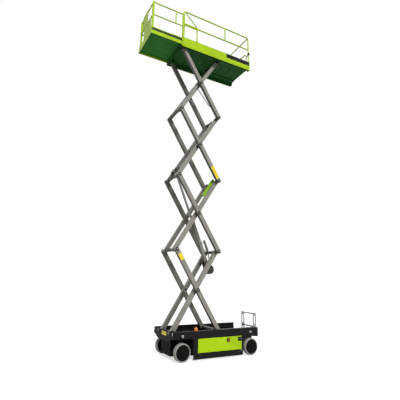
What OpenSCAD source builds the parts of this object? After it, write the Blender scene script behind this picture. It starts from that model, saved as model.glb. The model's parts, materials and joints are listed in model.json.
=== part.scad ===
// Self-propelled electric scissor lift, raised, with its roll-out deck extended.
// Millimetres. +X is the steering end, +Y the machine's left, +Z up, the floor is z = 0.

/* [Chassis] */
// Distance between front and rear axles
wheelbase = 1840; // [1700:10:2000]
// Half width of the body over its side skins
body_half_w = 552; // [500:1:600]
// Front face of the body, ahead of the point midway between the axles
body_front = 1158; // [1155:1:1200]
// Rear face of the body, behind the point midway between the axles
body_rear = 1147; // [1100:1:1200]
// Height of the top edge of the body
body_top = 613; // [600:1:640]
// Height of the underside of the body
body_low = 150; // [140:1:170]
// Thickness of the body plates
plate = 12; // [8:1:16]

/* [Wheels] */
// Radius of a tyre
tyre_r = 190; // [180:1:200]
// Width of a tyre
tyre_w = 125; // [110:1:140]
// Distance from the middle plane to the outer face of a tyre
tyre_out = 583; // [570:1:600]
// Distance from the middle plane to a steering pivot
kingpin_y = 400; // [380:1:420]

/* [Scissor stack] */
// Length of an arm between its end pins
arm_span = 2186; // [2000:1:2400]
// Slope of the arms as built, in degrees
lift_deg = 58; // [40:0.1:60]
// Front fixed pivots ahead of the point midway between the axles
pivot_x = 1070; // [1050:1:1090]
// Height of the lowest pivots
pivot_z = 560; // [540:1:580]
// Depth of an arm
arm_depth = 100; // [90:1:110]
// Width of an arm
arm_width = 90; // [70:1:92]
// Outer face of the outer arms from the middle plane
outer_y = 438; // [430:1:440]
// Side gap between inner and outer arms
arm_gap = 44; // [42:1:60]
// Radius of a joint pin
pin_r = 30; // [25:1:35]
// Radial clearance of a turning pin
pin_play = 0.3; // [0.2:0.05:0.5]

/* [Lift cylinder] */
// Place of the base pivot along the lowest inner arms, from their front pins
base_at = 0.819; // [0.8:0.001:0.84]
// Drop of the base pivot below the middle line of those arms
base_off = 185; // [160:1:190]
// Place of the rod pivot along the third inner arms, from their front pins
rod_at = 0.1006; // [0.09:0.0001:0.12]
// Rise of the rod pivot above the middle line of those arms
rod_off = 49; // [40:1:55]
// Outside radius of the barrel
barrel_r = 54; // [45:1:56]
// Length of the barrel from its base pivot
barrel_len = 1290; // [1250:10:1320]
// Radius of the rod
rod_r = 30; // [26:1:36]

/* [Platform] */
// Front edge of the main deck ahead of the point midway between the axles
deck_front = 1180; // [1175:1:1200]
// Length of the main deck
deck_len = 2310; // [2200:10:2400]
// Half width of the main deck
deck_half_w = 530; // [500:1:560]
// Drop of the deck's lower edge below the top pivots
deck_drop = 40; // [30:1:45]
// Height of the toe boards above the deck's lower edge
toe_top = 290; // [275:1:310]
// Height of the top rail above the deck's lower edge
rail_top = 1160; // [1120:1:1200]
// Height of the middle rail above the deck's lower edge
rail_mid = 730; // [690:1:760]
// Radius of a rail tube
rail_r = 19; // [17:1:21]

/* [Extension deck] */
// Reach of the roll-out deck ahead of the main deck
ext_len = 895; // [800:5:900]
// Half width of the roll-out deck
ext_half_w = 503; // [480:1:508]
// Height of its top rail above the main deck's lower edge
ext_rail_top = 1118; // [1090:1:1130]
// Height of its middle rail above the main deck's lower edge
ext_rail_mid = 700; // [670:1:715]

/* [Hidden] */
$fn = 48;
axle_x = wheelbase / 2;
rise = arm_span * sin(lift_deg);
run = arm_span * cos(lift_deg);
inner_y = outer_y - arm_width - arm_gap;
inner_in = inner_y - arm_width;
outer_in = outer_y - arm_width;
end_r = arm_depth / 2;
top_z = pivot_z + 4 * rise;
deck_z = top_z - deck_drop;
deck_rear = deck_front - deck_len;
floor_z = deck_z + 112;
ext_z = deck_z + 124;
ext_front = deck_front + ext_len;
ladder_x = -1280;
ladder_half = 48;
x_shift = -(ext_front + ladder_x - ladder_half) / 2;
base_x = pivot_x - base_at * run - base_off * sin(lift_deg);
base_z = pivot_z + base_at * rise - base_off * cos(lift_deg);
rod_x = pivot_x - rod_at * run + rod_off * sin(lift_deg);
rod_z = pivot_z + (2 + rod_at) * rise + rod_off * cos(lift_deg);
cyl_deg = atan2(rod_z - base_z, rod_x - base_x);
cyl_len = norm([rod_x - base_x, rod_z - base_z]);
deck_plate_z = 462;
pipe_x = 442;
pipe_z = 150;
port_x = 132;
rear_wall = 700;
arch_front = 650;
panel_front = 530;
panel_rear = -652;
panel_low = 155;
panel_top = 446;
tyre_mid = tyre_out - tyre_w / 2;
front_plate = 8;
sill_low = body_low - plate;
hinge_z = sill_low - 14;
hinge_y = body_half_w - 12;
tray_pin_x = panel_front - 5;
tray_pin_y = body_half_w - 6;
guard_lugs = [panel_rear + 60, panel_front - 60];
lug_y = inner_y + 8;
track_y = outer_y + 6;
rim_r = 162;
rail_y = deck_half_w - 15;
bend_r = 90;
post_x = deck_rear + 26;
bar_x0 = post_x + bend_r * (1 - sqrt(0.5));
bar_h = rail_top - bend_r * (1 - sqrt(0.5));
slot_y = ext_half_w - 17;
gate_g = 400;
gate_top = 660;
gate_bend = 100;
hinge_hs = [200, 470];
board_in = 424;

CHARCOAL = [0.09, 0.09, 0.10];
BLACK = [0.04, 0.04, 0.045];
LIME = [0.62, 0.80, 0.06];
GREY = [0.42, 0.40, 0.38];
STEEL = [0.62, 0.63, 0.65];
GREEN = [0.10, 0.26, 0.12];
TYRE = [0.50, 0.50, 0.49];
AMBER = [0.85, 0.35, 0.04];
RED = [0.55, 0.05, 0.04];

module both() {
  children();
  mirror([0, 1, 0]) children();
}

// Box given by its low and high corners.
module span(a, b) {
  translate(a) cube(b - a);
}

// Cylinder along Y between two y values.
module bar_y(x, z, y0, y1, r) {
  translate([x, y0, z]) rotate([-90, 0, 0]) cylinder(r = r, h = y1 - y0);
}

// Cylinder along X between two x values.
module bar_x(x0, x1, y, z, r) {
  translate([x0, y, z]) rotate([0, 90, 0]) cylinder(r = r, h = x1 - x0);
}

// Round tube between two points, closed.
module tube(a, b, r) {
  d = b - a;
  translate(a) rotate([0, acos(d[2] / norm(d)), atan2(d[1], d[0])]) cylinder(r = r, h = norm(d));
}

// Frame of an inner pair: x runs from its rear top pins to its front bottom pins, z is up and forward.
module on_inner(n) {
  translate([pivot_x - run, 0, pivot_z + n * rise]) rotate([0, lift_deg, 0]) children();
}

// Frame of an outer pair: x runs from its rear bottom pins to its front top pins, z is up and rearward.
module on_outer(n) {
  translate([pivot_x - run, 0, pivot_z + (n - 1) * rise]) rotate([0, -lift_deg, 0]) children();
}

// Cylinder along Z between two z values.
module bar_z(x, y, z0, z1, r) {
  translate([x, y, z0]) cylinder(r = r, h = z1 - z0);
}

// Side skin seen along Y: long flank, rounded front wheel notch, round rear wheel arch and the tray opening.
module skin_profile() {
  notch_r = 48;
  arch_r = 232;
  difference() {
    polygon(concat(
      [[body_front, body_top], [body_front, 478]],
      [for (a = [90:15:180]) [arch_front + notch_r + notch_r * cos(a), 420 + notch_r * sin(a)]],
      [[arch_front, body_low], [-rear_wall, body_low]],
      [for (a = [18.5:11.5:99]) [-axle_x + arch_r * cos(a), tyre_r + arch_r * sin(a)]],
      [[-body_rear, 404], [-body_rear, body_top]]));
    translate([panel_rear - 5, body_low - 1])
      square([panel_front - panel_rear + 10, panel_top + 7 - body_low]);
    for (x = [axle_x, -axle_x]) translate([x, 520]) circle(r = 16);
  }
}

// Tub, side skins, deck plate and bulkheads of the body, with the sills that carry trays and guards,
// a closed belly pan with two drains, and a well in the deck plate for the foot of the lift cylinder.
module chassis_frame() {
  color(CHARCOAL) difference() {
    union() {
      both() {
        translate([0, body_half_w, 0]) rotate([90, 0, 0]) linear_extrude(plate) skin_profile();
        span([-body_rear, body_half_w - 52, body_top - plate], [body_front, body_half_w, body_top]);
        span([arch_front - plate, 290, sill_low], [arch_front, body_half_w, deck_plate_z]);
        span([panel_front + 6, 290, sill_low], [panel_front + 6 + plate, body_half_w, deck_plate_z]);
        span([-rear_wall, 290, sill_low], [-rear_wall + plate, body_half_w, deck_plate_z]);
        span([-body_rear, 280, sill_low], [arch_front, 292, deck_plate_z]);
        span([-rear_wall, 280, sill_low], [arch_front, body_half_w, sill_low + 10]);
        span([pivot_x - 65, lug_y, deck_plate_z], [body_front, lug_y + 30, pivot_z]);
        bar_y(pivot_x, pivot_z, lug_y, lug_y + 30, 56);
        span([-body_rear, 500, 404], [-body_rear + plate, body_half_w, body_top]);
        bar_z(tray_pin_x, tray_pin_y, sill_low + 9, panel_top + 8, 5);
        for (x = guard_lugs) {
          bar_x(x - 15, x + 15, hinge_y, hinge_z, 13);
          span([x - 15, hinge_y - 13, hinge_z], [x + 15, hinge_y + 12, sill_low + 1]);
        }
      }
      span([-body_rear, 4 - body_half_w, deck_plate_z], [body_front, body_half_w - 4, deck_plate_z + plate]);
      span([-rear_wall, -292, sill_low], [arch_front, 292, sill_low + 10]);
      span([-rear_wall, -292, sill_low], [-rear_wall + plate, 292, deck_plate_z]);
      span([arch_front - plate, -292, sill_low], [arch_front, 292, deck_plate_z]);
      span([-body_rear, -500, 404], [-body_rear + plate, 500, deck_plate_z]);
      span([6 - rear_wall, -425, 92], [arch_front - 4, 425, sill_low + 1]);
      span([527, body_half_w - 90, body_top - 8], [617, body_half_w - 40, body_top]);
      translate([body_front - front_plate, 0, 0]) rotate([90, 0, 90]) linear_extrude(front_plate)
        polygon([[-body_half_w, body_top], [-body_half_w, 508], [-315, 392], [315, 392],
                 [body_half_w, 508], [body_half_w, body_top]]);
    }
    both() {
      bar_y(pivot_x, pivot_z, lug_y - 1, lug_y + 40, pin_r + pin_play);
      bar_x(-rear_wall, arch_front, hinge_y, hinge_z, 7 + pin_play);
    }
    span([-860, -110, 366], [-550, 110, deck_plate_z + plate + 1]);
    span([18 - rear_wall, -413, 104], [arch_front - 16, 413, sill_low]);
    for (x = [-400, 350]) bar_z(x, 0, 91, 105, 20);
  }
}

module roller_tracks() {
  color(CHARCOAL) both() {
    span([-body_rear + plate, 492, deck_plate_z + plate], [30, 500, body_top]);
    span([-body_rear + plate, track_y, pivot_z - 48], [30, 492, pivot_z - 40]);
    span([-body_rear + plate, track_y, body_top - 7], [-72, 492, body_top]);
  }
}

module steer_axle() {
  color(CHARCOAL) difference() {
    union() {
      span([axle_x - 70, -kingpin_y - 60, 396], [axle_x + 70, kingpin_y + 60, deck_plate_z]);
      span([axle_x - 190, -262, 78], [axle_x + 160, 262, 396]);
    }
    both() translate([axle_x, kingpin_y, 380]) cylinder(r = 25 + pin_play, h = 100);
  }
}

module rear_axle() {
  color(CHARCOAL) both() {
    span([-axle_x - 70, 330, 110], [-axle_x + 70, tyre_out - tyre_w - 8, deck_plate_z]);
    bar_y(-axle_x, tyre_r, tyre_out - tyre_w - 8, tyre_out - 45, 40);
  }
}

module entry_ladder() {
  stile = 246;
  color(STEEL) {
    both() difference() {
      span([ladder_x - ladder_half, stile, 430], [ladder_x + ladder_half, stile + 10, 920]);
      for (slot = [[655, 835], [490, 530]]) {
        span([ladder_x - 16, stile - 1, slot[0]], [ladder_x + 16, stile + 11, slot[1]]);
        for (z = slot) bar_y(ladder_x, z, stile - 1, stile + 11, 16);
      }
    }
    for (z = [590, 898]) span([ladder_x - 40, -stile, z - 14], [ladder_x + 40, stile, z + 14]);
    both() span([ladder_x + ladder_half, stile, 436], [-body_rear, stile + 10, 470]);
  }
}

module beacon() {
  color(AMBER) translate([572, body_half_w - 44, body_top]) {
    cylinder(r = 44, h = 12);
    cylinder(r = 38, h = 36);
    translate([0, 0, 36]) intersection() {
      sphere(r = 38);
      cylinder(r = 40, h = 40);
    }
  }
}

module knuckle() {
  color(CHARCOAL) translate([axle_x, kingpin_y, 0]) {
    translate([0, 0, 100]) cylinder(r = 25, h = 358);
    translate([0, 0, 360]) cylinder(r = 48, h = 30);
    span([-35, -35, 100], [35, 35, 375]);
    bar_y(0, tyre_r, -75, tyre_out - tyre_w - 8 - kingpin_y, 68);
    bar_y(0, tyre_r, 0, tyre_out - 45 - kingpin_y, 40);
    span([-150, -20, 330], [-20, 20, 350]);
  }
}

module knuckle_left() {
  knuckle();
}

module knuckle_right() {
  mirror([0, 1, 0]) knuckle();
}

module wheel_at(x) {
  color(BLACK) translate([x, tyre_mid, tyre_r]) rotate([-90, 0, 0]) difference() {
    union() {
      cylinder(r = rim_r, h = tyre_w - 16, center = true);
      translate([0, 0, tyre_w / 2 - 30]) cylinder(r = 52, h = 34);
    }
    translate([0, 0, -tyre_w]) cylinder(r = 40 + pin_play, h = tyre_w + 28);
    translate([0, 0, -tyre_w / 2]) cylinder(r = rim_r - 14, h = 60);
    translate([0, 0, tyre_w / 2 - 22]) difference() {
      cylinder(r = rim_r - 12, h = 30);
      cylinder(r = 52, h = 40, center = true);
    }
  }
}

module tyre_at(x) {
  color(TYRE) translate([x, tyre_mid, tyre_r]) rotate([-90, 0, 0]) rotate_extrude($fn = 96)
    polygon([[rim_r, 8 - tyre_w / 2], [rim_r + 6, -tyre_w / 2], [tyre_r - 20, -tyre_w / 2],
             [tyre_r - 6, 7 - tyre_w / 2], [tyre_r, 24 - tyre_w / 2], [tyre_r, tyre_w / 2 - 24],
             [tyre_r - 6, tyre_w / 2 - 7], [tyre_r - 20, tyre_w / 2], [rim_r + 6, tyre_w / 2],
             [rim_r, tyre_w / 2 - 8]]);
}

module wheel_front_left() {
  wheel_at(axle_x);
}

module wheel_front_right() {
  mirror([0, 1, 0]) wheel_at(axle_x);
}

module wheel_rear_left() {
  wheel_at(-axle_x);
}

module wheel_rear_right() {
  mirror([0, 1, 0]) wheel_at(-axle_x);
}

module tyre_front_left() {
  tyre_at(axle_x);
}

module tyre_front_right() {
  mirror([0, 1, 0]) tyre_at(axle_x);
}

module tyre_rear_left() {
  tyre_at(-axle_x);
}

module tyre_rear_right() {
  mirror([0, 1, 0]) tyre_at(-axle_x);
}

// Swing-out tray: its lime cover, its floor and one plain block for the heavy contents.
module tray(block) {
  color(LIME) difference() {
    union() {
      span([panel_rear, body_half_w - plate, panel_low], [panel_front, body_half_w, panel_top]);
      span([panel_rear + 40, 320, panel_low + 8], [panel_front - 30, body_half_w - plate, panel_low + 18]);
      span([panel_rear + 60, 330, panel_low + 18],
           [panel_rear + 60 + block, body_half_w - 30, panel_top - 50]);
      bar_z(tray_pin_x, tray_pin_y, panel_low, panel_top, 8);
    }
    bar_z(tray_pin_x, tray_pin_y, panel_low - 1, panel_top + 1, 5 + pin_play);
  }
}

module tray_left() {
  tray(820);
}

module tray_right() {
  mirror([0, 1, 0]) tray(1000);
}

// Ground-level switch box and the seat of the stop button, on the left tray's cover.
module ground_controls() {
  color(BLACK) {
    bar_y(-272, 378, body_half_w, body_half_w + 10, 46);
    for (x = [-636, -560], z = [360, 412]) bar_y(x, z, body_half_w, body_half_w + 18, 14);
    span([-650, body_half_w, 360], [-546, body_half_w + 18, 412]);
    span([-636, body_half_w, 346], [-560, body_half_w + 18, 426]);
  }
}

module stop_button() {
  color(RED) {
    bar_y(-272, 378, body_half_w + 10, body_half_w + 18, 20);
    bar_y(-272, 378, body_half_w + 18, body_half_w + 28, 34);
  }
}

// Pothole guard: a deep strip on a hinge rod, notched round the body's hinge lugs.
module guard() {
  guard_rear = 6 - rear_wall;
  guard_front = arch_front - 4;
  color(BLACK) {
    difference() {
      span([guard_rear, hinge_y - 6, 26], [guard_front, hinge_y + 6, hinge_z]);
      for (x = guard_lugs) span([x - 22, hinge_y - 10, hinge_z - 24], [x + 22, hinge_y + 10, hinge_z + 1]);
    }
    bar_x(guard_rear, guard_front, hinge_y, hinge_z, 7);
  }
}

module guard_left() {
  guard();
}

module guard_right() {
  mirror([0, 1, 0]) guard();
}

// One closed arm with rounded ends, a hollow on each side of the middle pin and a vent to each hollow.
module arm(y0) {
  difference() {
    union() {
      span([0, y0, -end_r], [arm_span, y0 + arm_width, end_r]);
      for (x = [0, arm_span]) bar_y(x, 0, y0, y0 + arm_width, end_r);
    }
    for (x = [90, arm_span / 2 + 90]) {
      span([x, y0 + 6, 6 - end_r], [x + arm_span / 2 - 180, y0 + arm_width - 6, end_r - 6]);
      translate([x + 60, y0 + arm_width / 2, -end_r - 1]) cylinder(r = 7, h = 20);
    }
  }
}

module inner_pair(n) {
  color(GREY) on_inner(n) both() difference() {
    arm(inner_in);
    for (x = [0, arm_span / 2, arm_span]) bar_y(x, 0, inner_in - 1, inner_y + 1, pin_r);
  }
}

module outer_pair(n) {
  color(GREY) on_outer(n) both() difference() {
    arm(outer_in);
    for (x = [0, arm_span / 2, arm_span]) {
      play = n == 1 && x == 0 ? 0 : pin_play;
      bar_y(x, 0, outer_in - 1, outer_y + 1, pin_r + play);
    }
  }
}

// Pin through an inner and an outer arm, with the spacer between them and the cap outside.
module pin_out(x) {
  bar_y(x, 0, inner_in, outer_y + 13, pin_r);
  bar_y(x, 0, inner_y, outer_in - 1, pin_r + 14);
  bar_y(x, 0, outer_y + 5, outer_y + 13, pin_r + 12);
}

module inner_arms_1() {
  inner_pair(1);
}

module inner_arms_2() {
  inner_pair(2);
}

module inner_arms_3() {
  inner_pair(3);
}

module inner_arms_4() {
  inner_pair(4);
}

// The first pair carries the cylinder's foot between two rounded lugs, each on a short tube of its own.
module cross_tubes_1() {
  foot = arm_span * (1 - base_at);
  lug_r = 114;
  color(BLACK) on_inner(1) {
    for (x = [0, arm_span]) bar_y(x, 0, -inner_in, inner_in, 38);
    bar_y(foot, -base_off, -62, 62, 40);
    both() {
      bar_y(foot - 90, 0, 62, inner_in, 42);
      bar_y(foot, -base_off, 62, 84, lug_r);
      translate([0, 84, 0]) rotate([90, 0, 0]) linear_extrude(22)
        polygon([[foot - lug_r, -base_off], [foot + lug_r, -base_off], [foot - 50, 20], [foot - 130, 20]]);
      pin_out(0);
      pin_out(arm_span / 2);
      bar_y(arm_span, 0, inner_in, lug_y + 36, pin_r);
    }
  }
}

module cross_tubes_2() {
  color(BLACK) on_inner(2) {
    for (x = [0, arm_span]) bar_y(x, 0, -inner_in, inner_in, 38);
    both() for (x = [0, arm_span / 2, arm_span]) pin_out(x);
  }
}

// The third pair leaves the middle of its front tube open for the lift cylinder.
module cross_tubes_3() {
  color(BLACK) on_inner(3) {
    bar_y(0, 0, -inner_in, inner_in, 38);
    both() {
      for (x = [0, arm_span / 2, arm_span]) pin_out(x);
      bar_y(arm_span, 0, 62, inner_in, 38);
      bar_y(arm_span * (1 - rod_at), rod_off, 62, inner_in, 40);
      bar_y(arm_span * (1 - rod_at), rod_off, 62, 84, 62);
    }
  }
}

module cross_tubes_4() {
  color(BLACK) on_inner(4) {
    for (x = [0, arm_span]) bar_y(x, 0, -inner_in, inner_in, 38);
    both() {
      pin_out(arm_span / 2);
      pin_out(arm_span);
      bar_y(0, 0, inner_in, inner_y + 44, pin_r);
      bar_y(0, 0, inner_y + 4, inner_y + 42, 40);
    }
  }
}

module outer_arms_1() {
  outer_pair(1);
}

module outer_arms_2() {
  outer_pair(2);
}

module outer_arms_3() {
  outer_pair(3);
}

module outer_arms_4() {
  outer_pair(4);
}

module slide_axle() {
  color(BLACK) translate([pivot_x - run, 0, pivot_z]) {
    bar_y(0, 0, -outer_in, outer_in, 38);
    both() {
      bar_y(0, 0, outer_in, outer_y + 46, pin_r);
      bar_y(0, 0, outer_y + 8, outer_y + 46, 38);
    }
  }
}

module on_cylinder() {
  translate([base_x, 0, base_z]) rotate([0, -cyl_deg, 0]) children();
}

// Barrel with its base eye, gland, port block and a short pipe held beside it on two brackets.
module lift_barrel() {
  color(GREY) on_cylinder() difference() {
    union() {
      bar_x(0, barrel_len, 0, 0, barrel_r);
      bar_x(barrel_len - 70, barrel_len, 0, 0, barrel_r + 5);
      bar_y(0, 0, -52, 52, 62);
      span([port_x - 26, -18, 30], [port_x + 26, 18, 84]);
      bar_x(pipe_x, pipe_x + 296, 0, pipe_z, 30);
      for (x = [pipe_x + 40, pipe_x + 236]) span([x, -12, 30], [x + 20, 12, pipe_z]);
    }
    bar_y(0, 0, -barrel_r - 1, barrel_r + 1, 40 + pin_play);
    bar_x(80, barrel_len + 1, 0, 0, rod_r + 1);
  }
}

module lift_rod() {
  color(STEEL) on_cylinder() difference() {
    union() {
      bar_x(barrel_len - 90, cyl_len - 30, 0, 0, rod_r);
      bar_y(cyl_len, 0, -48, 48, 52);
    }
    bar_y(cyl_len, 0, -49, 49, 32);
  }
}

// Hose from the port block to the lower end of the pipe beside the barrel.
module cylinder_hose() {
  color(BLACK) on_cylinder() {
    bar_z(port_x, 0, 84, 104, 16);
    tube([port_x, 0, 100], [pipe_x - 8, 0, pipe_z], 11);
    bar_x(pipe_x - 18, pipe_x, 0, pipe_z, 16);
  }
}

// Lime maintenance prop, saddled on the rear tube of the second inner pair.
module service_prop() {
  color(LIME) on_inner(2) difference() {
    union() {
      span([-52, 112, 46], [520, 202, 96]);
      span([-34, 112, 4], [34, 202, 46]);
    }
    bar_y(0, 0, 100, 210, 38);
  }
}

// Floor plate, side channels and skirts, top tracks, front pivot blocks, cross ribs and slide pads.
module main_deck() {
  inside = deck_half_w - 12;
  back = deck_rear + 6;
  front = deck_front - 9;
  color(GREEN) {
    span([back, 2 - slot_y, floor_z], [front, slot_y - 2, floor_z + 6]);
    both() {
      span([back, 462, deck_z + 4], [front, 470, floor_z]);
      span([back, inside - 9, deck_z + 2], [front, inside, floor_z]);
      span([back, inner_y + 6, top_z + 41], [30, 462, top_z + 49]);
      span([back, inner_y + 6, top_z + 49], [30, inner_y + 14, floor_z]);
      span([back, board_in, deck_z + 2], [back + 6, 470, floor_z]);
      span([pivot_x - 60, outer_in - 44, top_z - 45], [pivot_x + 66, outer_in - 8, floor_z]);
      bar_y(pivot_x, top_z, outer_in - 44, outer_y + 10, pin_r);
      span([deck_front - 70, 300, floor_z + 6], [deck_front - 14, 340, ext_z - 0.3]);
      for (x = [back, -400, 300, deck_front - 40]) {
        span([x, 470, deck_z + 10], [x + 12, slot_y - 4, floor_z]);
        span([x, slot_y - 5, deck_z + 10], [x + 12, inside - 8, deck_z + 56]);
      }
    }
  }
}

// Side toe boards with a folded top flange, front fascia and rear boards beside the gate.
// The rear edge stays high in the middle, where the arms end when the stack is down.
module toe_boards() {
  inside = deck_half_w - 12;
  color(LIME) {
    both() {
      span([deck_rear, inside, deck_z], [deck_front, deck_half_w, deck_z + toe_top]);
      span([deck_rear, inside - 24, deck_z + toe_top - 8], [deck_front, inside, deck_z + toe_top]);
      span([deck_rear, board_in, deck_z], [deck_rear + 6, inside, deck_z + toe_top]);
    }
    span([deck_rear, -board_in, deck_z + 101], [deck_rear + 6, board_in, floor_z + 6]);
    span([deck_front - 9, -inside, deck_z], [deck_front, inside, deck_z + 58]);
    span([deck_front - 9, 2 - slot_y, deck_z], [deck_front, slot_y - 2, floor_z + 6]);
  }
}

// Quarter bend of a rail tube in the XZ plane, from pointing up to pointing back.
module bend(x, y, z, turn) {
  translate([x, y, z]) rotate([90, turn, 0]) rotate_extrude(angle = 90)
    translate([bend_r, 0]) circle(r = rail_r);
}

// Side guard rail, standing on the toe board's flange, with a strap down the outside at the front.
module side_rail() {
  f = deck_front - 25;
  top = deck_z + rail_top;
  mid = deck_z + rail_mid;
  foot = deck_z + toe_top;
  y = rail_y;
  color(LIME) {
    span([f - 25, y - 15, foot], [f + 25, y + 17, top - bend_r]);
    span([f - 25, deck_half_w, deck_z], [f + 25, deck_half_w + 6, foot + 60]);
    bar_z(post_x, y, foot, top - bend_r, rail_r);
    tube([post_x + bend_r, y, top], [f - bend_r, y, top], rail_r);
    tube([post_x, y, mid], [f, y, mid], rail_r);
    bend(f - bend_r, y, top - bend_r, 0);
    bend(post_x + bend_r, y, top - bend_r, -90);
    tube([f - 60, y, top - 10], [712, y, mid + 40], 15);
    bar_z(712, y, foot, mid + 40, rail_r);
    bar_z(-242, y, mid, top, rail_r);
    span([712, y - 4, mid - 40], [f, y + 4, mid + 40]);
  }
}

module rail_left() {
  side_rail();
}

module rail_right() {
  mirror([0, 1, 0]) side_rail();
}

// Rear top bar between the corner bends, and the two hinge eyes of the gate on the right post.
module rail_rear() {
  color(LIME) difference() {
    union() {
      tube([bar_x0, -rail_y, deck_z + bar_h], [bar_x0, rail_y, deck_z + bar_h], rail_r - 3);
      for (h = hinge_hs) {
        bar_z(post_x, -gate_g, deck_z + h, deck_z + h + 30, 26);
        span([post_x - 10, 12 - deck_half_w, deck_z + h], [post_x + 10, -gate_g, deck_z + h + 30]);
      }
    }
    both() {
      bend(post_x + bend_r, rail_y, deck_z + rail_top - bend_r, -90);
      bar_z(post_x, rail_y, deck_z, deck_z + rail_top - bend_r, rail_r);
    }
    bar_z(post_x, -gate_g, deck_z, deck_z + rail_top, 16 + pin_play);
  }
}

// Latch block clamped round the outside of the left rear post, with its tongue to the gate.
module gate_latch() {
  color(BLACK) difference() {
    union() {
      span([post_x - 26, rail_y - 8, deck_z + 536], [post_x + 26, rail_y + 28, deck_z + 612]);
      span([post_x - 9, gate_g + 21, deck_z + 538], [post_x + 9, rail_y - 8, deck_z + 556]);
    }
    bar_z(post_x, rail_y, deck_z + 500, deck_z + 700, rail_r);
  }
}

// Half-height hoop gate with a toe sheet, hung on its right leg.
module entry_gate() {
  top = deck_z + gate_top;
  color(LIME) {
    both() {
      bar_z(post_x, gate_g, floor_z + 40, top - gate_bend, 16);
      translate([post_x, gate_g - gate_bend, top - gate_bend]) rotate([90, 0, 90]) rotate_extrude(angle = 90)
        translate([gate_bend, 0]) circle(r = 16);
    }
    tube([post_x, gate_bend - gate_g, top], [post_x, gate_g - gate_bend, top], 16);
    difference() {
      span([post_x - 4, -gate_g, floor_z + 46], [post_x + 4, gate_g, deck_z + toe_top]);
      span([post_x - 30, -gate_g - 30, deck_z + 194], [post_x + 30, 34 - gate_g, deck_z + 236]);
    }
  }
}

// Floor of the roll-out deck with its two slide pads.
module ext_deck() {
  color(GREEN) {
    span([deck_front - 110, 6 - ext_half_w, ext_z], [ext_front - 8, ext_half_w - 6, ext_z + 8]);
    both() span([deck_front - 110, 380, floor_z + 6.3], [deck_front - 50, 430, ext_z]);
    for (y = [-250, 0, 250]) span([deck_front + 30, y - 25, ext_z - 4], [ext_front - 20, y + 25, ext_z]);
  }
}

module ext_rails() {
  y = ext_half_w - 46;
  f = ext_front - 34;
  r = deck_front - 84;
  top = deck_z + ext_rail_top;
  mid = deck_z + ext_rail_mid;
  color(LIME) {
    both() {
      span([f - 25, y - 25, ext_z + 8], [f + 25, y + 25, top]);
      bar_z(r, y, ext_z + 8, top - 17, 17);
      for (z = [mid, top - 17]) tube([r, y, z], [f, y, z], 17);
      bar_z(1358, y, mid, top - 17, 17);
    }
    for (z = [mid, top - 17]) tube([f, -y, z], [f, y, z], 17);
  }
}

// Sheets of the roll-out deck: toe sheets on three sides and two panels on the front rails.
module ext_panels() {
  f = ext_front - 34;
  low = deck_z + 66;
  color(LIME) {
    both() span([deck_front - 110, ext_half_w - 6, low], [ext_front - 8, ext_half_w, deck_z + 170]);
    span([ext_front - 8, -ext_half_w, low], [ext_front, ext_half_w, deck_z + 250]);
    span([f + 17, -300, deck_z + ext_rail_mid + 10], [f + 21, 100, deck_z + ext_rail_top + 30]);
    span([f + 17, -170, deck_z + 193], [f + 21, 370, deck_z + ext_rail_mid - 60]);
    for (y = [-150, 100, 350]) {
      span([f + 17, y - 15, deck_z + ext_rail_mid - 60], [f + 21, y + 15, deck_z + ext_rail_mid + 4]);
    }
  }
}

// Dark strips along the side sheets and dark pads under the front corners.
module ext_trim() {
  color(BLACK) both() {
    span([deck_front - 110, ext_half_w - 6, deck_z + 170], [ext_front - 8, ext_half_w, deck_z + 237]);
    span([ext_front - 8, ext_half_w - 48, deck_z + 34], [ext_front, ext_half_w, deck_z + 66]);
  }
}

module place() {
  translate([x_shift, 0, 0]) children();
}

place() chassis_frame();
place() roller_tracks();
place() steer_axle();
place() rear_axle();
place() entry_ladder();
place() beacon();
place() knuckle_left();
place() knuckle_right();
place() wheel_front_left();
place() wheel_front_right();
place() wheel_rear_left();
place() wheel_rear_right();
place() tyre_front_left();
place() tyre_front_right();
place() tyre_rear_left();
place() tyre_rear_right();
place() tray_left();
place() tray_right();
place() ground_controls();
place() stop_button();
place() guard_left();
place() guard_right();
place() inner_arms_1();
place() inner_arms_2();
place() inner_arms_3();
place() inner_arms_4();
place() cross_tubes_1();
place() cross_tubes_2();
place() cross_tubes_3();
place() cross_tubes_4();
place() outer_arms_1();
place() outer_arms_2();
place() outer_arms_3();
place() outer_arms_4();
place() slide_axle();
place() lift_barrel();
place() lift_rod();
place() cylinder_hose();
place() service_prop();
place() main_deck();
place() toe_boards();
place() rail_left();
place() rail_right();
place() rail_rear();
place() gate_latch();
place() entry_gate();
place() ext_deck();
place() ext_rails();
place() ext_panels();
place() ext_trim();
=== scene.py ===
"""Looks of a raised electric scissor lift: paint, rubber, steel, trim, studio floor, light and camera."""
import json
import math

import bmesh
import bpy
from mathutils import Matrix, Vector


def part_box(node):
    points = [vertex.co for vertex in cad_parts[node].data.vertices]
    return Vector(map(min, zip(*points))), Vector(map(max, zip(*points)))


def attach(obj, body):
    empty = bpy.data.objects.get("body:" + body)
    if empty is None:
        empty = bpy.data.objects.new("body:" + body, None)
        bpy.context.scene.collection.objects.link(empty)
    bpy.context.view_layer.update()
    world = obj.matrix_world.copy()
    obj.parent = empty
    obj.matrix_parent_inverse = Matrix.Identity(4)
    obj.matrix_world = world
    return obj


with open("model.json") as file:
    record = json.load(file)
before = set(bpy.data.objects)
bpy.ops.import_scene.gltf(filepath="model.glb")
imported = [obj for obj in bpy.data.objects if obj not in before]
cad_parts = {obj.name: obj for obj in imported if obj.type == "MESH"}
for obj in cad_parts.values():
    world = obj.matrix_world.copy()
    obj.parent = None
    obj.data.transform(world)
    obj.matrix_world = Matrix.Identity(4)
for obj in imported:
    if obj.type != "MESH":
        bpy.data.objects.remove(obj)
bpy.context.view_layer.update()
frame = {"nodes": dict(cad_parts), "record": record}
nodes = frame["nodes"]
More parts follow.
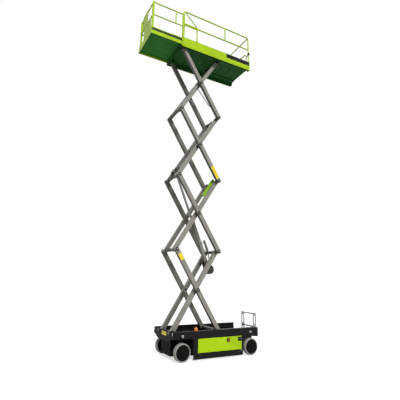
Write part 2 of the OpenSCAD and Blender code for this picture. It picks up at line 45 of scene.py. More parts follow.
joint_at = {j["name"]: Vector(j["pos_m"]) for j in frame["record"]["behaviour"]["joints"] if "pos_m" in j}


def mid(node):
    low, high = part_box(node)
    return (Vector(low) + Vector(high)) / 2


# Places are given in millimetres from the floor point midway between the axles.
ORIGIN_X = (mid("wheel_front_left").x + mid("wheel_rear_left").x) / 2


def at(x, y, z):
    return Vector((ORIGIN_X + x / 1000, y / 1000, z / 1000))


# Driving sizes of the scissor stack, read from its joints.
PIVOT = joint_at["lift"]
RISE = joint_at["stage_2"].z - PIVOT.z
RUN = 2 * (PIVOT.x - joint_at["scissor_1"].x)
ARM_SPAN = math.hypot(RISE, RUN)
LIFT_ANGLE = math.atan2(RISE, RUN)
ARM_SIDE = Vector(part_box("outer_arms_1")[1]).y
ARM_WIDTH = 0.090
DECK_Z = Vector(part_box("toe_boards")[0]).z

# Faces that carry trim, in metres: outward from the middle plane, or from a wheel's own middle.
BODY_SIDE = 0.552
TOE_SIDE = 0.530
STRIP_SIDE = 0.503
CONTROL_FACE = 0.570
CAP_OUT = 0.013
DISC_SEAT = 0.0405
HUB_FACE = 0.0605
SHEET = 0.0016


# Materials

class Graph:
    """Short names for building one material's node tree."""

    def __init__(self, name):
        self.mat = bpy.data.materials.new(name)
        self.mat.use_nodes = True
        self.tree = self.mat.node_tree
        self.bsdf = self.tree.nodes["Principled BSDF"]
        self.coords = self.node("ShaderNodeTexCoord").outputs["Object"]

    def node(self, kind, **settings):
        made = self.tree.nodes.new(kind)
        for key, value in settings.items():
            setattr(made, key, value)
        return made

    def feed(self, socket, value):
        if isinstance(value, bpy.types.NodeSocket):
            self.tree.links.new(value, socket)
        elif isinstance(value, (tuple, list)) and len(value) == 3 and socket.type == "RGBA":
            socket.default_value = (*value, 1)
        else:
            socket.default_value = value

    def set(self, name, value):
        self.feed(self.bsdf.inputs[name], value)

    def math(self, operation, a, b=0.0):
        made = self.node("ShaderNodeMath", operation=operation)
        for socket, value in zip(made.inputs, (a, b)):
            self.feed(socket, value)
        return made.outputs[0]

    def scale(self, value, low, high, to_low=0.0, to_high=1.0):
        made = self.node("ShaderNodeMapRange")
        for key, number in (("Value", value), ("From Min", low), ("From Max", high),
                            ("To Min", to_low), ("To Max", to_high)):
            self.feed(made.inputs[key], number)
        return made.outputs[0]

    def mix(self, factor, a, b, blend="MIX"):
        made = self.node("ShaderNodeMix", data_type="RGBA", blend_type=blend)
        self.feed(made.inputs[0], factor)
        self.feed(made.inputs[6], a)
        self.feed(made.inputs[7], b)
        return made.outputs[2]

    def noise(self, size, detail=4.0, rough=0.55, stretch=None):
        """Noise whose grains are about size millimetres across."""
        made = self.node("ShaderNodeTexNoise")
        made.inputs["Scale"].default_value = 1000 / size
        made.inputs["Detail"].default_value = detail
        made.inputs["Roughness"].default_value = rough
        vector = self.coords
        if stretch:
            mapping = self.node("ShaderNodeMapping")
            mapping.inputs["Scale"].default_value = stretch
            self.tree.links.new(vector, mapping.inputs["Vector"])
            vector = mapping.outputs[0]
        self.tree.links.new(vector, made.inputs["Vector"])
        return made.outputs[0]

    def axes(self, vector=None):
        split = self.node("ShaderNodeSeparateXYZ")
        self.tree.links.new(vector or self.coords, split.inputs[0])
        return split.outputs

    def facing(self):
        """The surface's own normal, as x, y and z."""
        return self.axes(self.node("ShaderNodeNewGeometry").outputs["Normal"])

    def edges(self, radius):
        """One along sharp edges, falling to nought within about radius millimetres."""
        bevel = self.node("ShaderNodeBevel", samples=4)
        bevel.inputs["Radius"].default_value = radius / 1000
        dot = self.node("ShaderNodeVectorMath", operation="DOT_PRODUCT")
        self.tree.links.new(bevel.outputs[0], dot.inputs[0])
        self.tree.links.new(self.node("ShaderNodeNewGeometry").outputs["Normal"], dot.inputs[1])
        return self.scale(dot.outputs["Value"], 0.99, 0.80)

    def bump(self, height, strength, depth):
        made = self.node("ShaderNodeBump")
        made.inputs["Strength"].default_value = strength
        made.inputs["Distance"].default_value = depth / 1000
        self.tree.links.new(height, made.inputs["Height"])
        if self.bsdf.inputs["Normal"].links:
            self.tree.links.new(self.bsdf.inputs["Normal"].links[0].from_socket, made.inputs["Normal"])
        self.tree.links.new(made.outputs[0], self.bsdf.inputs["Normal"])


DUST = (0.30, 0.28, 0.25)


def paint(name, colour, rough, bare, metal=0.0, wear=0.5, dust=0.3, shade=0.16, coat=0.0, shine=0.5):
    """Painted steel: cloudy tone, orange peel, rubbed edges, dust on what faces up."""
    g = Graph(name)
    cloud = g.scale(g.noise(420, 3), 0.3, 0.7, 1 - shade, 1 + shade * 0.5)
    speck = g.scale(g.noise(22, 5), 0.25, 0.75, 0.94, 1.06)
    tone = g.math("MULTIPLY", cloud, speck)
    tinted = g.mix(1.0, colour, g.mix(tone, (0, 0, 0), (1, 1, 1)), "MULTIPLY")
    rubbed = g.math("MULTIPLY", g.edges(5), g.scale(g.noise(38, 6, 0.7), 0.48, 0.62))
    rubbed = g.math("MULTIPLY", rubbed, wear)
    worn = g.mix(rubbed, tinted, bare)
    settle = g.math("MULTIPLY", g.scale(g.facing()[2], 0.6, 1.0), g.scale(g.noise(120, 5), 0.35, 0.75))
    settle = g.math("MULTIPLY", settle, dust)
    g.set("Base Color", g.mix(settle, worn, DUST))
    streak = g.scale(g.noise(9, 6, 0.7, (1.0, 1.0, 0.25)), 0.3, 0.7, rough - 0.06, rough + 0.10)
    g.set("Roughness", g.math("ADD", streak, g.math("MULTIPLY", settle, 0.35)))
    g.set("Metallic", metal)
    g.set("Specular IOR Level", shine)
    g.set("Coat Weight", coat)
    g.set("Coat Roughness", 0.18)
    g.bump(g.noise(3.2, 2), 0.10, 0.5)
    g.bump(rubbed, 0.25, -0.6)
    return g


LIME = paint("lime_paint", (0.362, 0.550, 0.0008), 0.42, (0.50, 0.52, 0.40), wear=0.35, dust=0.08, coat=0.04,
             shine=0.20).mat
CHARCOAL = paint("charcoal_paint", (0.0112, 0.0112, 0.0114), 0.54, (0.080, 0.080, 0.080), dust=0.08,
                 shine=0.06).mat
BLACK = paint("black_paint", (0.0048, 0.0048, 0.0050), 0.50, (0.06, 0.06, 0.06), dust=0.08, shine=0.12).mat
YELLOW = paint("plate_yellow", (0.80, 0.61, 0.010), 0.40, (0.5, 0.45, 0.3), wear=0.4, dust=0.1,
               shine=0.3).mat
PALE = paint("pale_mark", (0.72, 0.72, 0.70), 0.42, (0.4, 0.4, 0.4), wear=0.4, dust=0.1).mat
RED = paint("signal_red", (0.23, 0.010, 0.008), 0.30, (0.3, 0.1, 0.1), wear=0.2, dust=0.1, coat=0.4).mat


def arm_grey():
    """Warm grey arm paint, with painted shade on the faces that look inwards and on the faces that look
    down.
    """
    g = paint("arm_grey", (0.240, 0.227, 0.197), 0.42, (0.46, 0.45, 0.44), metal=0.25, wear=0.6, dust=0.20,
              shine=0.4)
    # Painted shade: faces that look towards the middle plane are darkened, in patches.
    inward = g.math("MULTIPLY", g.facing()[1], g.math("SIGN", g.axes()[1]))
    patchy = g.scale(g.noise(160, 4), 0.25, 0.7, 0.62, 0.95)
    painted_inward_shade = g.math("MULTIPLY", g.scale(inward, -0.3, -0.9), patchy)
    spotty = g.scale(g.noise(90, 4), 0.25, 0.7, 0.72, 0.95)
    # Painted shade: faces that look down are darkened, in spots.
    painted_underside_shade = g.math("MULTIPLY", g.scale(g.facing()[2], -0.15, -0.45), spotty)
    base = g.bsdf.inputs["Base Color"].links[0].from_socket
    base = g.mix(painted_inward_shade, base, (0.096, 0.090, 0.080))
    g.set("Base Color", g.mix(painted_underside_shade, base, (0.040, 0.038, 0.032)))
    rough = g.bsdf.inputs["Roughness"].links[0].from_socket
    # Both painted shade masks also make the paint a little rougher.
    g.set("Roughness", g.math("ADD", rough, g.math("MULTIPLY", g.math("MAXIMUM", painted_inward_shade, painted_underside_shade), 0.14)))
    return g.mat


GREY = arm_grey()


def green_deck(name, colour):
    """Dark green deck steel with a raised lens pattern on the faces that point up."""
    g = paint(name, colour, 0.52, (0.12, 0.18, 0.11), wear=0.4, dust=0.25, shine=0.10)
    x, y, _ = g.axes()
    cell = 0.034
    half_long, half_wide = 0.33, 0.09
    lens = []
    for sign, shift in ((1, 0.0), (-1, 0.5)):
        along = g.math("ADD", x, g.math("MULTIPLY", y, sign))
        across = g.math("SUBTRACT", g.math("MULTIPLY", x, sign), y)
        u = g.math("FRACT", g.math("ADD", g.math("DIVIDE", along, 2 * cell), shift))
        v = g.math("FRACT", g.math("ADD", g.math("DIVIDE", across, 2 * cell), shift))
        du = g.math("POWER", g.math("ABSOLUTE", g.math("DIVIDE", g.math("SUBTRACT", u, 0.5), half_long)), 2)
        dv = g.math("POWER", g.math("ABSOLUTE", g.math("DIVIDE", g.math("SUBTRACT", v, 0.5), half_wide)), 2)
        lens.append(g.math("SUBTRACT", 1.0, g.math("ADD", du, dv)))
    raised = g.math("MAXIMUM", g.math("MAXIMUM", lens[0], lens[1]), 0.0)
    raised = g.math("MULTIPLY", g.math("SQRT", raised), g.scale(g.facing()[2], 0.8, 0.95))
    rough = g.bsdf.inputs["Roughness"].links[0].from_socket
    g.set("Roughness", g.math("SUBTRACT", rough, g.math("MULTIPLY", raised, 0.12)))
    base = g.bsdf.inputs["Base Color"].links[0].from_socket
    g.set("Base Color", g.mix(g.math("MULTIPLY", raised, 0.35), base, (0.10, 0.16, 0.09)))
    g.bump(raised, 0.8, 2.5)
    return g.mat


def steel(name, colour, rough, stretch):
    """Bare metal with brushing along one axis, stains and bright rubbed edges."""
    g = Graph(name)
    brush = g.noise(2.4, 3, 0.6, stretch)
    stain = g.scale(g.noise(90, 5), 0.35, 0.75)
    bright = g.mix(g.scale(brush, 0.3, 0.7), tuple(c * 0.82 for c in colour), colour)
    g.set("Base Color", g.mix(g.math("MULTIPLY", stain, 0.35), bright, tuple(c * 0.6 for c in colour)))
    g.set("Metallic", 0.85)
    spread = g.scale(brush, 0.3, 0.7, rough - 0.06, rough + 0.08)
    g.set("Roughness", g.math("ADD", spread, g.math("MULTIPLY", stain, 0.10)))
    g.bump(brush, 0.10, 0.3)
    return g.mat


def tyre_rubber():
    """Grey non-marking rubber: mould rings near the shoulders, scuffed tread, dust towards the floor."""
    g = Graph("tyre_rubber")
    _, y, z = g.axes()
    side = g.math("ABSOLUTE", y)
    rings = None
    outer = Vector(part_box("tyre_front_left")[1]).y
    width = outer - Vector(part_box("tyre_front_left")[0]).y
    for inset in (0.014, 0.022, width - 0.022, width - 0.014):
        line = g.math("ABSOLUTE", g.math("SUBTRACT", side, outer - inset))
        groove = g.scale(line, 0.0015, 0.0028)
        rings = groove if rings is None else g.math("MULTIPLY", rings, groove)
    grain = g.noise(6, 6, 0.7)
    scuff = g.scale(g.noise(55, 6, 0.65), 0.35, 0.7)
    tone = g.mix(scuff, (0.215, 0.208, 0.190), (0.315, 0.305, 0.280))
    tone = g.mix(g.scale(rings, 0.0, 1.0, 0.45, 0.0), tone, (0.08, 0.08, 0.08))
    flat = g.scale(g.math("ABSOLUTE", g.facing()[1]), 0.3, 0.9)
    tone = g.mix(g.math("MULTIPLY", flat, 0.35), tone, (0.335, 0.325, 0.305))
    low = g.math("MULTIPLY", g.scale(z, 0.10, 0.0), g.scale(g.noise(30, 4), 0.3, 0.7))
    g.set("Base Color", g.mix(g.math("MULTIPLY", low, 0.6), tone, (0.22, 0.20, 0.17)))
    g.set("Roughness", g.scale(grain, 0.3, 0.7, 0.70, 0.88))
    g.bump(rings, 0.5, 2.0)
    g.bump(grain, 0.25, 0.8)
    return g.mat


def hose_rubber():
    """Braided black hose rubber."""
    g = Graph("hose_rubber")
    weave = g.noise(4, 2, 0.5)
    g.set("Base Color", g.mix(weave, (0.008, 0.008, 0.008), (0.022, 0.022, 0.022)))
    g.set("Roughness", g.scale(weave, 0.3, 0.7, 0.5, 0.7))
    g.bump(weave, 0.4, 0.8)
    return g.mat


def amber_lens():
    """Moulded amber lens with upright flutes and a faint inner glow."""
    g = Graph("amber_lens")
    x, y, _ = g.axes()
    flute_count = 36
    centre = mid("beacon")
    angle = g.math("ARCTAN2", g.math("SUBTRACT", y, centre.y), g.math("SUBTRACT", x, centre.x))
    flutes = g.math("SINE", g.math("MULTIPLY", angle, flute_count))
    haze = g.noise(14, 4)
    g.set("Base Color", g.mix(haze, (0.62, 0.14, 0.008), (0.78, 0.22, 0.02)))
    g.set("Roughness", g.scale(haze, 0.3, 0.7, 0.16, 0.28))
    g.set("Transmission Weight", 0.25)
    g.set("Emission Color", (0.85, 0.22, 0.02))
    g.set("Emission Strength", 0.06)
    g.bump(flutes, 0.35, 1.2)
    return g.mat


SLOT_LOOK = {
    "lime_paint": LIME,
    "charcoal_paint": CHARCOAL,
    "black_paint": BLACK,
    "arm_grey": GREY,
    "bright_steel": steel("bright_steel", (0.335, 0.335, 0.345), 0.40, (1.0, 1.0, 0.05)),
    "deck_green": green_deck("deck_green", (0.014, 0.092, 0.015)),
    "tyre_rubber": tyre_rubber(),
    "hose_rubber": hose_rubber(),
    "amber_lens": amber_lens(),
    "signal_red": RED,
}
slot_of = {p["node"]: p["material_slot"] for p in frame["record"]["subparts"]}
for name, obj in nodes.items():
    obj.data.materials.clear()
    obj.data.materials.append(SLOT_LOOK[slot_of[name]])

# Painted shade: the rod steel is darker than the bright steel, as the rod sits in shade.
ROD_SHADED_STEEL = steel("rod_steel_shaded", (0.205, 0.205, 0.210), 0.30, (1.0, 1.0, 0.2))
# Painted light: a brighter copy of the deck green for the extension deck.
EXTENSION_LIT_GREEN = green_deck("extension_green_lit", (0.030, 0.185, 0.026))
# Painted shade: a deeper, duller black than the black paint for the steer axle and wheel discs, whose black
# is their own.
SHADED_AXLE_BLACK = paint("axle_black_shaded", (0.0034, 0.0034, 0.0035), 0.62, (0.045, 0.045, 0.045), dust=0.10, shine=0.05).mat
# Painted shade: a darker copy of the lime paint for the service prop.
SHADED_PROP_LIME = paint("prop_lime_shaded", (0.23, 0.47, 0.006), 0.45, (0.4, 0.45, 0.3), wear=0.5, dust=0.2, shine=0.2).mat
# Dark green-black for the extension trim: the side strips are their own dark colour, the dark sleeves on the
# front rails are painted shade.
STRIP_AND_SHADE_DARK = paint("strip_dark_and_shade", (0.012, 0.036, 0.004), 0.5, (0.1, 0.12, 0.08), shine=0.15).mat
PIN_GREY = paint("pin_grey", (0.024, 0.023, 0.021), 0.42, (0.16, 0.155, 0.15), metal=0.3, wear=0.7,
                 dust=0.15).mat
OWN_LOOK = {
    ROD_SHADED_STEEL: ("lift_rod",),
    EXTENSION_LIT_GREEN: ("ext_deck",),
    SHADED_AXLE_BLACK: ("steer_axle", "wheel_front_left", "wheel_front_right", "wheel_rear_left", "wheel_rear_right"),
    SHADED_PROP_LIME: ("service_prop",),
    STRIP_AND_SHADE_DARK: ("ext_trim",),
    PIN_GREY: ("cross_tubes_1", "cross_tubes_2", "cross_tubes_3", "cross_tubes_4", "slide_axle"),
}
for look, names in OWN_LOOK.items():
    for name in names:
        nodes[name].data.materials[0] = look


# Trim

class Trim:
    """One joined mesh of small fittings that ride on a body."""

    def __init__(self, name, body, look, slot):
        self.name, self.body, self.look, self.slot = name, body, look, slot
        self.bm = bmesh.new()

    def lathe(self, place, axis, outline, sides=20):
        """Turned piece: outline is a list of (along, radius) from its seat outwards, in metres."""
        turn = Vector((0, 0, 1)).rotation_difference(Vector(axis)).to_matrix()
        rows = []
        for along, radius in outline:
            ring = []
            for k in range(sides):
                a = 2 * math.pi * k / sides
                spot = Vector((radius * math.cos(a), radius * math.sin(a), along))
                ring.append(self.bm.verts.new(Vector(place) + turn @ spot))
            rows.append(ring)
        for low, high in zip(rows, rows[1:]):
            for k in range(sides):
                self.bm.faces.new((low[k], low[(k + 1) % sides], high[(k + 1) % sides], high[k]))
        self.bm.faces.new(rows[-1])
        self.bm.faces.new(list(reversed(rows[0])))

    def bolt(self, place, axis, size=0.012):
        """Hexagon head on a washer with a chamfered crown."""
        self.lathe(place, axis, [(0, size * 1.25), (size * 0.25, size * 1.25)], 20)
        high = size * 0.25
        self.lathe(Vector(place) + Vector(axis) * high, axis,
                   [(0, size), (size * 0.7, size), (size * 0.9, size * 0.82)], 6)

    def plate(self, low, high, round_off, spin=None, centre=None):
        """Block with rounded edges between two corners, in metres, turned about centre if asked."""
        made = bmesh.new()
        bmesh.ops.create_cube(made, size=1)
        middle = (Vector(low) + Vector(high)) / 2
        size = Vector(high) - Vector(low)
        for v in made.verts:
            v.co = Vector((v.co.x * size.x, v.co.y * size.y, v.co.z * size.z))
        bmesh.ops.bevel(made, geom=made.edges[:], offset=round_off, segments=3, profile=0.5, affect="EDGES")
        where = Matrix.Translation(middle)
        if spin is not None:
            where = Matrix.Translation(Vector(centre)) @ spin @ Matrix.Translation(middle - Vector(centre))
        made.transform(where)
        part = bpy.data.meshes.new("part")
        made.to_mesh(part)
        made.free()
        self.bm.from_mesh(part)
        bpy.data.meshes.remove(part)

    def cord(self, points, radius, sides=10):
        """Round cable through the points, with closed ends."""
        rows = []
        for k, p in enumerate(points):
            ahead = points[min(k + 1, len(points) - 1)] - points[max(k - 1, 0)]
            turn = Vector((0, 0, 1)).rotation_difference(ahead.normalized()).to_matrix()
            ring = []
            for n in range(sides):
                a = 2 * math.pi * n / sides
                spot = turn @ Vector((radius * math.cos(a), radius * math.sin(a), 0))
                ring.append(self.bm.verts.new(p + spot))
            rows.append(ring)
        for low, high in zip(rows, rows[1:]):
            for n in range(sides):
                self.bm.faces.new((low[n], low[(n + 1) % sides], high[(n + 1) % sides], high[n]))
        self.bm.faces.new(rows[-1])
        self.bm.faces.new(list(reversed(rows[0])))

    def ring(self, place, axis, inner, outer, high, sides=24):
        """Raised ring with rounded shoulders round a post or a hole."""
        edge = high * 0.3
        outline = [(0, outer), (high - edge, outer), (high, outer - edge), (high, inner + edge),
                   (high - edge, inner), (0, inner)]
        turn = Vector((0, 0, 1)).rotation_difference(Vector(axis)).to_matrix()
        rows = []
        for along, radius in outline:
            angles = [2 * math.pi * k / sides for k in range(sides)]
            spots = [Vector((radius * math.cos(a), radius * math.sin(a), along)) for a in angles]
            rows.append([self.bm.verts.new(Vector(place) + turn @ spot) for spot in spots])
        for low, high_row in zip(rows, rows[1:] + rows[:1]):
            for k in range(sides):
                self.bm.faces.new((low[k], low[(k + 1) % sides], high_row[(k + 1) % sides], high_row[k]))

    def done(self):
        bmesh.ops.recalc_face_normals(self.bm, faces=self.bm.faces)
        mesh = bpy.data.meshes.new(self.name)
        self.bm.to_mesh(mesh)
        self.bm.free()
        mesh.materials.append(self.look)
        piece = bpy.data.objects.new(self.name, mesh)
        bpy.context.collection.objects.link(piece)
        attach(piece, self.body)
        return piece


STEEL = SLOT_LOOK["bright_steel"]
HOSE = SLOT_LOOK["hose_rubber"]
LEFT = Vector((0, 1, 0))
FRONT = Vector((1, 0, 0))
UP = Vector((0, 0, 1))


def wheel_fittings():
    """Dark wheel nuts in each disc's recess, four small domed heads on the hub face and two pressed rings in
    the disc.
    """
    for end in ("front", "rear"):
        for side, out in (("left", LEFT), ("right", -LEFT)):
            body = "wheel_" + end[0] + side[0]
            centre = mid("tyre_%s_%s" % (end, side))
            seat = centre + out * DISC_SEAT
            fit = Trim("wheel_fittings_%s_%s" % (end, side), body, BLACK, "black_paint")
            for k in range(8):
                a = math.pi / 4 * k + 0.3
                fit.bolt(seat + Vector((math.cos(a), 0, math.sin(a))) * 0.096, out, 0.012)
            fit.ring(seat, out, 0.128, 0.140, 0.008, 48)
            fit.ring(seat, out, 0.053, 0.066, 0.010, 32)
            for k in range(4):
                a = math.pi / 2 * k + 0.7
                spot = centre + out * HUB_FACE + Vector((math.cos(a), 0, math.sin(a))) * 0.036
                fit.lathe(spot, out, [(0, 0.006), (0.001, 0.006), (0.0018, 0.0045)], 12)
            fit.done()


def joint_places(stage):
    """Rear top, crossing and front bottom pins of one inner pair, in the middle plane."""
    low = PIVOT + Vector((0, 0, (stage - 1) * RISE))
    top = low + Vector((-RUN, 0, RISE))
    return {"top": top, "cross": (low + top) / 2, "low": low}


def pin_fittings():
    """Keeper bolts on the outer caps of the joint pins."""
    every = ("top", "cross", "low")
    capped = {1: ("top", "cross"), 2: every, 3: every, 4: ("cross", "low")}
    for stage, names in capped.items():
        fit = Trim("pin_bolts_%d" % stage, "inner_%d" % stage, STEEL, "bright_steel")
        for name in names:
            for out in (LEFT, -LEFT):
                seat = joint_places(stage)[name] + out * (ARM_SIDE + CAP_OUT)
                fit.bolt(seat, out, 0.013)
                for spread in (-0.026, 0.026):
                    fit.lathe(seat + Vector((spread, 0, 0)), out,
                              [(0, 0.006), (0.004, 0.006), (0.0055, 0.0035)], 14)
        fit.done()


def washers_and_welds():
    """Thin wear washers under the pin caps and weld beads where the cross tubes meet the inner arms."""
    tube_end = Vector(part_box("inner_arms_1")[1]).y - ARM_WIDTH
    for stage in range(1, 5):
        washers = Trim("washers_%d" % stage, "outer_%d" % stage, HOSE, "hose_rubber")
        foot = PIVOT + Vector((-RUN, 0, (stage - 1) * RISE))
        for along in ((0, 0.5, 1) if stage > 1 else (0.5, 1)):
            spot = foot + Vector((RUN, 0, RISE)) * along
            for out in (LEFT, -LEFT):
                washers.ring(spot + out * ARM_SIDE, out, 0.0306, 0.047, 0.004, 28)
        washers.done()
        welds = Trim("tube_welds_%d" % stage, "inner_%d" % stage, PIN_GREY, "black_paint")
        for name in ("top", "low"):
            for out in (LEFT, -LEFT):
                welds.ring(joint_places(stage)[name] + out * tube_end, -out, 0.0378, 0.046, 0.008, 28)
        welds.done()


def arm_plate(name, stage, along, length, width):
    """Blank yellow plate on the near outer arm, with a rivet at each corner."""
    foot = PIVOT + Vector((-RUN, 0, (stage - 1) * RISE))
    spin = Matrix.Rotation(-LIFT_ANGLE, 4, "Y")
    face = ARM_SIDE
    low = foot + Vector((along - length / 2, face, -width / 2))
    high = foot + Vector((along + length / 2, face + 0.0018, width / 2))
    fit = Trim(name, "outer_%d" % stage, YELLOW, "lime_paint")
    fit.plate(low, high, 0.0008, spin, foot)
    fit.done()
    rivets = Trim(name + "_rivets", "outer_%d" % stage, STEEL, "bright_steel")
    for dx in (along - length / 2 + 0.012, along + length / 2 - 0.012):
        for dz in (-width / 2 + 0.012, width / 2 - 0.012):
            spot = foot + spin.to_3x3() @ Vector((dx, 0, dz)) + LEFT * (face + 0.0018)
            rivets.lathe(spot, LEFT, [(0, 0.005), (0.0018, 0.004), (0.0026, 0.0018)], 12)
    rivets.done()


def smooth(points, steps):
    """Points along a soft curve through the given ones."""
    padded = [points[0]] + points + [points[-1]]
    curve = []
    for before, start, end, after in zip(padded, padded[1:], padded[2:], padded[3:]):
        for k in range(steps):
            t = k / steps
            curve.append(((end - before) * t + (2 * before - 5 * start + 4 * end - after) * t ** 2
                          + (3 * start - before - 3 * end + after) * t ** 3) / 2 + start)
    return curve + [points[-1]]


def arm_cables():
    """Pair of thin cables that hang beside the near outer arm of the last stage, below its crossing."""
    foot = PIVOT + Vector((-RUN, 0, 3 * RISE))
    spin = Matrix.Rotation(-LIFT_ANGLE, 3, "Y")
    face = ARM_SIDE - ARM_WIDTH
    cables = Trim("arm_cables", "outer_4", HOSE, "hose_rubber")
    clips = Trim("arm_cable_clips", "outer_4", BLACK, "black_paint")
    for radius, clear, slack, shift in ((0.0065, 0.011, 0.0, 0.0), (0.0055, 0.024, 0.012, 0.030)):
        bends = ((0.400 - shift, 0.001, -0.024), (0.408 - shift, clear, -0.030),
                 (0.460, clear, -0.060 - slack), (0.720, clear, -0.100 - slack),
                 (0.960, clear, -0.138 - slack), (1.012, clear, -0.126),
                 (1.026 - shift, clear, -0.060), (1.030 - shift, 0.001, -0.030))
        route = [foot + spin @ Vector((along, face - inset, across)) for along, inset, across in bends]
        cables.cord(smooth(route, 5), radius)
        for end in (route[0], route[-1]):
            seat = Vector((end.x, face, end.z))
            clips.ring(seat, -LEFT, radius, radius + 0.009, 0.004, 20)
    cables.done()
    clips.done()


def body_marks():
    """Lashing-hole rings, slot marks and the blank front plate of the body."""
    rings = Trim("lashing_rings", "chassis", PALE, "bright_steel")
    for x in (920, -920):
        for out in (LEFT, -LEFT):
            rings.ring(at(x, 0, 520) + out * BODY_SIDE, out, 0.0165, 0.025, 0.004)
    nose = Vector(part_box("chassis_frame")[1]).x
    for y in (-521, -301, 293, 521):
        spot = at(0, y, 566)
        spot.x = nose
        rings.plate(spot + Vector((0, -0.011, -0.028)), spot + Vector((0.003, 0.011, 0.028)), 0.0014)
    rings.done()
    plate = Trim("front_plate_blank", "chassis", YELLOW, "lime_paint")
    spot = at(0, 57, 541)
    spot.x = nose
    plate.plate(spot + Vector((0, -0.129, -0.042)), spot + Vector((0.002, 0.129, 0.042)), 0.0009)
    plate.done()
    bolts = Trim("body_bolts", "chassis", BLACK, "black_paint")
    for y in (-430, -200, 200, 430):
        spot = at(0, y, 585)
        spot.x = nose
        bolts.bolt(spot, FRONT, 0.009)
    for x in (-1060, -760, -460, -160, 140, 440, 740, 1040):
        for out in (LEFT, -LEFT):
            bolts.lathe(at(x, 0, 588) + out * BODY_SIDE, out,
                        [(0, 0.011), (0.003, 0.010), (0.006, 0.006)], 16)
    for x in (-640, -340, -40, 260, 520):
        for out in (LEFT, -LEFT):
            bolts.lathe(at(x, 0, 470) + out * BODY_SIDE, out,
                        [(0, 0.008), (0.002, 0.0075), (0.0045, 0.0045)], 14)
    bolts.done()


def deck_trim():
    """Plain black stripe on the near toe board, strap bolts and post collars."""
    stripe = Trim("toe_stripe", "platform", BLACK, "black_paint")
    low = Vector((at(-1118, 0, 0).x, TOE_SIDE, DECK_Z + 0.152))
    high = Vector((at(-282, 0, 0).x, TOE_SIDE + SHEET, DECK_Z + 0.287))
    stripe.plate(low, high, 0.0007)
    stripe.done()
    bolts = Trim("deck_bolts", "platform", BLACK, "black_paint")
    for out in (LEFT, -LEFT):
        for z in (0.035, 0.150, 0.262):
            bolts.bolt(at(1155, 0, 0) + out * (TOE_SIDE + 0.006) + UP * (DECK_Z + z), out, 0.010)
        for x in (1090, 560, 30, -500, -1030):
            bolts.lathe(at(x, 0, 0) + out * TOE_SIDE + UP * (DECK_Z + 0.030), out,
                        [(0, 0.012), (0.003, 0.011), (0.007, 0.006)], 16)
    bolts.done()
    collars = Trim("post_collars", "platform", LIME, "lime_paint")
    foot = DECK_Z + 0.290
    for out in (1, -1):
        for x in (712, -1104):
            collars.ring(at(x, out * 515, 0) + UP * foot, UP, 0.0191, 0.027, 0.022)
        collars.ring(at(-242, out * 515, 0) + UP * (DECK_Z + 0.749), UP, 0.0191, 0.023, 0.005)
    collars.done()


def underside_trim():
    """Shallow floor ribs and seam strips under the main deck, and a thin deck-green sheet over its lime
    front edge, which is painted shade.
    """
    green = SLOT_LOOK["deck_green"]
    ribs = Trim("floor_ribs", "platform", green, "deck_green")
    top = DECK_Z + 0.112
    for x in (-950, -690, -430, -170, 170, 430, 690, 930):
        half = 0.300 if x < 30 else 0.452
        ribs.plate(at(x - 22, 0, 0) + Vector((0, -half, top - 0.010)),
                   at(x + 22, 0, 0) + Vector((0, half, top)), 0.002)
    for y in (-0.150, 0.150):
        ribs.plate(at(-1110, 0, 0) + Vector((0, y - 0.015, top - 0.007)),
                   at(1160, 0, 0) + Vector((0, y + 0.015, top)), 0.002)
    ribs.done()
    # Painted shade: a deck-green sheet laid over the lime front edge where it sits in shade under the
    # extension.
    shade_sheet = Trim("front_edge_shade_sheet", "platform", green, "deck_green")
    nose = Vector(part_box("toe_boards")[1]).x
    for back, front, half, low, high, round_off in (
            (0.0, SHEET, 0.516, 0.002, 0.056, 0.0007), (0.0, SHEET, 0.482, 0.056, 0.116, 0.0007),
            (-0.011, SHEET, 0.516, -0.0014, 0.0, 0.0006), (-0.0106, -0.009, 0.508, 0.0, 0.108, 0.0006)):
        shade_sheet.plate(Vector((nose + back, -half, DECK_Z + low)), Vector((nose + front, half, DECK_Z + high)),
                   round_off)
    shade_sheet.done()


def extension_trim():
    """Fixings of the front panels and of the dark side strips."""
    bolts = Trim("extension_bolts", "extension", STEEL, "bright_steel")
    face = at(2062, 0, 0).x
    for y0, y1, z0, z1 in ((-300, 100, 0.710, 1.148), (-170, 370, 0.193, 0.640)):
        for y in (y0 + 20, (y0 + y1) / 2, y1 - 20):
            for z in (z0 + 0.02, z1 - 0.02):
                spot = Vector((face, y / 1000, DECK_Z + z))
                bolts.lathe(spot, FRONT, [(0, 0.008), (0.002, 0.0075), (0.0045, 0.004)], 14)
    for out in (LEFT, -LEFT):
        for x in (1230, 1480, 1730, 1980):
            bolts.lathe(at(x, 0, 0) + out * STRIP_SIDE + UP * (DECK_Z + 0.204), out,
                        [(0, 0.008), (0.002, 0.0075), (0.0045, 0.004)], 14)
    bolts.done()


def tray_trim():
    """Key switch and toggle on the ground control box, cover screws."""
    steel_bits = Trim("control_switches", "tray_l", STEEL, "bright_steel")
    steel_bits.lathe(at(-622, 0, 396) + LEFT * CONTROL_FACE, LEFT,
                     [(0, 0.012), (0.004, 0.012), (0.006, 0.009)], 20)
    steel_bits.lathe(at(-580, 0, 396) + LEFT * CONTROL_FACE, LEFT,
                     [(0, 0.009), (0.003, 0.009), (0.004, 0.004), (0.012, 0.003)], 16)
    steel_bits.done()
    screws = {"tray_l": LEFT, "tray_r": -LEFT}
    for body, out in screws.items():
        fit = Trim("cover_screws_" + body[-1], body, BLACK, "black_paint")
        for x in (-630, -340, -50, 240, 500):
            for z in (175, 428):
                fit.lathe(at(x, 0, z) + out * BODY_SIDE, out,
                          [(0, 0.007), (0.002, 0.0065), (0.004, 0.004)], 14)
        fit.done()


